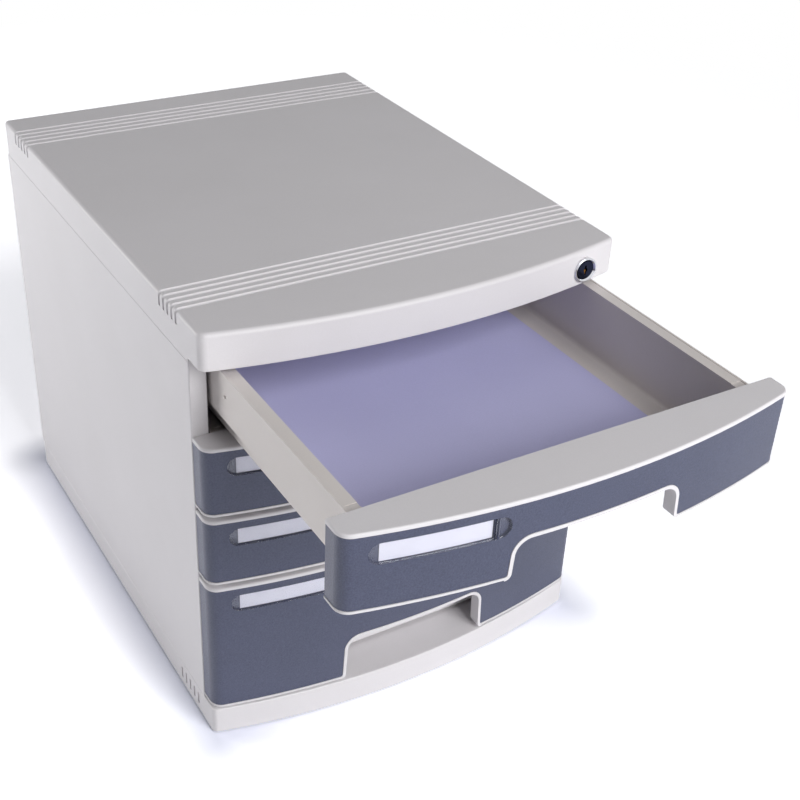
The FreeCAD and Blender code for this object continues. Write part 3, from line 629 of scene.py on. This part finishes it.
def sheet_surface(low, high):
    """Points of the sheet's top, row by row."""
    rows = []
    for j in range(sheet_cells_y + 1):
        row = []
        for i in range(sheet_cells_x + 1):
            x = low.x + (high.x - low.x) * i / sheet_cells_x
            y = low.y + (high.y - low.y) * j / sheet_cells_y
            x, y = round_corner(x, y, low, high)
            spot = Vector((x * waves_per_metre.x, y * waves_per_metre.y, noise_layer))
            wave = noise.noise(spot) * 0.5 + 0.5  # the noise runs from -1 to 1
            row.append(Vector((x, y, high.z + sheet_wave * wave)))
        rows.append(row)
    return rows


def rim(rows):
    """The outer points of a grid, once round."""
    return (rows[0] + [row[-1] for row in rows[1:]] + rows[-1][-2::-1]
            + [row[0] for row in rows[-2:0:-1]])


def liner_sheet():
    """The sheet as a thin closed solid."""
    low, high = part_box("liner_sheet")
    thickness = high.z - low.z
    maker = bmesh.new()
    top = [[maker.verts.new(point) for point in row] for row in sheet_surface(low, high)]
    bottom = [[maker.verts.new(point.co - Vector((0, 0, thickness))) for point in row] for row in top]
    for j in range(sheet_cells_y):
        for i in range(sheet_cells_x):
            for layer in (top, bottom):
                maker.faces.new((layer[j][i], layer[j][i + 1], layer[j + 1][i + 1], layer[j + 1][i]))
    rim_top, rim_bottom = rim(top), rim(bottom)
    for index, point in enumerate(rim_top):
        beside = (index + 1) % len(rim_top)
        maker.faces.new((point, rim_top[beside], rim_bottom[beside], rim_bottom[index]))
    made = piece("lavender_sheet", maker, sheet_finish, "drawer_1")
    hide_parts("liner_sheet")
    return made


sheet = liner_sheet()
print("sheet", len(sheet.data.polygons), "faces")

# %% [markdown]
# Inside the keyway brass wafers wait for the key.
#
# Only their edges show, as a warm glint in the dark slit. Each is a thin plate with its
# corners bevelled, one behind the other, and they turn with the plug.

# %% Build the wafers
wafer_count = 3
wafer_width = 1.2 * mm
wafer_height = 3.0 * mm
wafer_thickness = 0.5 * mm
wafer_pitch = 0.95 * mm
wafer_start = 0.9 * mm
wafer_drop = 0.55 * wafer_height
wafer_bevel = 0.1 * mm
lock_low, lock_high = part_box("lock_plug")
lock_axis = Vector(((lock_low.x + lock_high.x) / 2, lock_low.y, (lock_low.z + lock_high.z) / 2))

maker = bmesh.new()
for index in range(wafer_count):
    cube = bmesh.ops.create_cube(maker, size=1)["verts"]
    bmesh.ops.scale(maker, vec=(wafer_width, wafer_thickness, wafer_height), verts=cube)
    place = lock_axis + Vector((0, wafer_start + index * wafer_pitch, -wafer_drop))
    bmesh.ops.translate(maker, vec=place, verts=cube)
bmesh.ops.bevel(maker, geom=maker.edges[:], offset=wafer_bevel, segments=2, affect="EDGES")
wafers = piece("keyway_wafers", maker, brass_finish, "lock_rotor")
print("wafers", len(wafers.data.polygons), "faces")

# %% [markdown]
# The cabinet stands on a white table, and only a faint, bluish shadow lies close to it.
#
# A floor that looks pure white in the picture would throw too much light back at the sides.
# So there are two floors in one, and the Light Path node tells the rays apart: the true one
# lights the cabinet, and a brighter one is seen by the camera, by mirrors and through glass.
# The seen one is lit by the same lamps, so it keeps the shadow.

# %% Rays that see the floor
def seen_directly(tree):
    """One for rays from the camera, from mirrors and through glass, and zero for the rest."""
    path = tree.nodes.new("ShaderNodeLightPath")
    total = path.outputs["Is Camera Ray"]
    for word in ("Is Glossy Ray", "Is Transmission Ray"):
        step = tree.nodes.new("ShaderNodeMath")
        step.operation = "MAXIMUM"
        tree.links.new(total, step.inputs[0])
        tree.links.new(path.outputs[word], step.inputs[1])
        total = step.outputs[0]
    return total


def mixed(tree, mask, first, second):
    """Blends two shaders by a mask."""
    mix = tree.nodes.new("ShaderNodeMixShader")
    for index, socket in enumerate((mask, first, second)):
        tree.links.new(socket, mix.inputs[index])
    return mix.outputs[0]


print("rays told apart by", seen_directly.__name__)

# %% [markdown]
# The seen floor has to be brighter the farther it lies from where the lamps shine.
#
# Its lightness grows from the lit spot outward, and from half a metre to a good metre away
# from the cabinet it turns into an even white that needs no lamp. Right beside the base it
# is painted a little darker and bluer, a painted contact shadow on top of the shadow that the
# lamps cast. All distances are in metres.

# %% Floor
floor_size = 30.0
floor_cells = 8
floor_true = paint(238, 239, 242)  # the floor that lights the cabinet
floor_near = (1.1, 1.12, 1.18, 1.0)  # seen at the lit spot
floor_far = (7.2, 7.2, 7.3, 1.0)  # seen far away from it
# Painted contact shadow: the seen floor is painted darker and bluer beside the base.
painted_contact_shadow = (1.0, 1.03, 1.17, 1.0)  # seen beside the base
lit_spot = (0.3, -1.2, 0.0)
lit_reach = (0.45, 4.7)
footprint_half = (0.15, 0.193, 0.0)
painted_shadow_reach = (0.0, 0.038)
shadow_reach = (0.5, 1.3)

maker = bmesh.new()
bmesh.ops.create_grid(maker, x_segments=floor_cells, y_segments=floor_cells, size=floor_size / 2)
floor_mesh = bpy.data.meshes.new("floor")
maker.to_mesh(floor_mesh)
maker.free()
floor = bpy.data.objects.new("floor", floor_mesh)
bpy.context.scene.collection.objects.link(floor)
floor_material = bpy.data.materials.new("floor")
floor_material.use_nodes = True
floor_tree = floor_material.node_tree
floor_tree.nodes.clear()


def floor_shader(colour):
    """A matt shader of the floor."""
    shader = floor_tree.nodes.new("ShaderNodeBsdfDiffuse")
    shader.inputs["Color"].default_value = colour
    return shader.outputs[0]


def floor_mix(mask, first, second):
    """Blends two shaders of the floor by a mask."""
    return mixed(floor_tree, mask, first, second)


def floor_vector(operation, first, second=None):
    """One step of vector maths on the floor's own coordinates."""
    step = floor_tree.nodes.new("ShaderNodeVectorMath")
    step.operation = operation
    floor_tree.links.new(first, step.inputs[0])
    if second:
        step.inputs[1].default_value = second
    return step.outputs["Value" if operation in ("LENGTH", "DISTANCE") else "Vector"]


def floor_fade(distance, near, far):
    """Zero up to the near distance, and one from the far distance on."""
    fade = floor_tree.nodes.new("ShaderNodeMapRange")
    fade.inputs["From Min"].default_value = near
    fade.inputs["From Max"].default_value = far
    floor_tree.links.new(distance, fade.inputs["Value"])
    return fade.outputs["Result"]


where = floor_tree.nodes.new("ShaderNodeTexCoord").outputs["Object"]
from_lamps = floor_vector("DISTANCE", where, lit_spot)
beyond = floor_vector("SUBTRACT", floor_vector("ABSOLUTE", where), footprint_half)
from_cabinet = floor_vector("LENGTH", floor_vector("MAXIMUM", beyond, (0, 0, 0)))
open_floor = floor_mix(floor_fade(from_lamps, *lit_reach),
                       floor_shader(floor_near), floor_shader(floor_far))
# The painted contact shadow is blended in close to the base.
floor_with_painted_shadow = floor_mix(floor_fade(from_cabinet, *painted_shadow_reach), floor_shader(painted_contact_shadow), open_floor)
white = floor_tree.nodes.new("ShaderNodeEmission")
bright = floor_mix(floor_fade(from_cabinet, *shadow_reach), floor_with_painted_shadow, white.outputs[0])
either = floor_mix(seen_directly(floor_tree), floor_shader(floor_true), bright)
floor_end = floor_tree.nodes.new("ShaderNodeOutputMaterial")
floor_tree.links.new(either, floor_end.inputs["Surface"])
floor_mesh.materials.append(floor_material)
print("floor", floor_size, "m")

# %% [markdown]
# The sky is the soft part of the light, and it is told apart in the same way.
#
# In the photograph the fronts are the brightest, the left side is nearly as bright and the
# top is clearly darker. A strong sky would make the top the brightest, so the sky that
# lights the cabinet is held back, while the one that is seen is plain white.

# %% Sky
sky_light = 0.11
sky_colour = paint(250, 250, 255)
seen_colour = (1.0, 1.0, 1.0, 1.0)
world = bpy.data.worlds.new("sky")
bpy.context.scene.world = world
world.use_nodes = True
world_tree = world.node_tree
world_tree.nodes.clear()


def sky(colour, strength):
    """An even sky of one colour."""
    made = world_tree.nodes.new("ShaderNodeBackground")
    made.inputs["Color"].default_value = colour
    made.inputs["Strength"].default_value = strength
    return made.outputs[0]


lit_sky = sky(sky_colour, sky_light)
seen_sky = sky(seen_colour, 1.0)
either_sky = mixed(world_tree, seen_directly(world_tree), lit_sky, seen_sky)
world_end = world_tree.nodes.new("ShaderNodeOutputWorld")
world_tree.links.new(either_sky, world_end.inputs["Surface"])
print("sky lights with", sky_light)

# %% [markdown]
# The lamps give the form.
#
# A large lamp in front, at a third of a right angle above the table, looks into the open
# drawer and leaves the fronts below it in shade. A low lamp in front lifts the base, and a
# third one, low behind the left rear corner, lights the left side alone.

# %% Lamps
lamp_target = Vector((0, -0.09, 0.16))


def lamp(name, direction, distance, watts, size):
    """A square soft lamp that looks at the target from a direction."""
    made = bpy.data.objects.new(name, bpy.data.lights.new(name, "AREA"))
    made.data.size = size
    made.data.energy = watts
    toward = Vector(direction).normalized()
    made.location = lamp_target + toward * distance
    made.rotation_mode = "QUATERNION"
    made.rotation_quaternion = (-toward).to_track_quat("-Z", "Y")
    bpy.context.scene.collection.objects.link(made)
    return made


lamps = (
    lamp("key_lamp", (0.13, -0.81, 0.56), distance=2.2, watts=30.5, size=1.1),
    lamp("low_lamp", (0.26, -0.93, 0.17), distance=2.2, watts=11.0, size=0.85),
    lamp("side_lamp", (-0.7, 0.68, 0.1), distance=2.0, watts=18.2, size=0.7),
)
print("lamps", [(made.name, made.data.energy) for made in lamps])

# %% [markdown]
# The last cell settles the account.
#
# The picture is shown with the plain Standard view, so a colour comes out as it was written.

# %% Finish
bpy.context.scene.view_settings.view_transform = "Standard"
